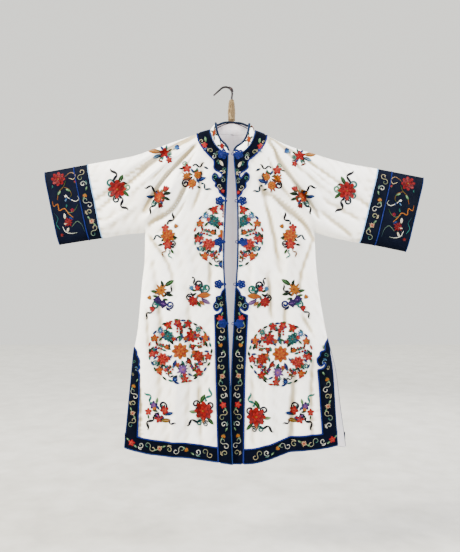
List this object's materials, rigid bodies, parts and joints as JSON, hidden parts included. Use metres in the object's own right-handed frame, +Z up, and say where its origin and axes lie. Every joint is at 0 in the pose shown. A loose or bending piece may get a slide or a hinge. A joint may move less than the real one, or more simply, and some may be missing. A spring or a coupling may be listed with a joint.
{
  "type": "chinese robe on a hanger",
  "caption": "White silk robe, open in front, with wide sleeves, dark embroidered borders and cuffs, a stand collar and corded frogs, held out on a hanger with a hook.",
  "frame": {"origin": "the inner top of the hanger's hook, where it hangs", "axes": "+Z up, the robe's front faces -Y, +X towards the wearer's left sleeve"},
  "size_m": [1.1978, 0.0885, 1.1876],
  "materials": {
    "silk": "soft silk satin with embroidery",
    "cuff_silk": "dark silk satin with embroidery",
    "border": "dark silk satin with embroidery and a blue edge",
    "cord": "blue silk cord",
    "lining": "thin plain lining",
    "hook_wire": "dark worn wire",
    "neck_wrap": "tan wrapped tape",
    "bar_coat": "dark plum coating"
  },
  "bodies": {
    "root": {"front_r": "silk", "front_l": "silk", "back": "silk", "sleeve_r": "silk", "sleeve_l": "silk", "stand_collar": "silk", "cuff_inner_r": "cuff_silk", "cuff_inner_l": "cuff_silk", "cuff_outer_r": "cuff_silk", "cuff_outer_l": "cuff_silk", "neck_border_r": "border", "neck_border_l": "border", "neck_border_back": "border", "front_border_r": "border", "front_border_l": "border", "hem_border_r": "border", "hem_border_l": "border", "hem_border_back": "border", "slit_border_front_r": "border", "slit_border_front_l": "border", "slit_border_back_r": "border", "slit_border_back_l": "border", "collar_piping": "cord", "edge_binding_r": "cord", "edge_binding_l": "cord", "frog_r_1": "cord", "frog_r_2": "cord", "frog_r_3": "cord", "frog_r_4": "cord", "frog_r_5": "cord", "frog_l_1": "cord", "frog_l_2": "cord", "frog_l_3": "cord", "frog_l_4": "cord", "frog_l_5": "cord", "lining_centre": "lining", "lining_slit": "lining", "hanger_hook": "hook_wire", "hanger_neck": "neck_wrap", "hanger_bar": "bar_coat"}
  },
  "joints": []
}
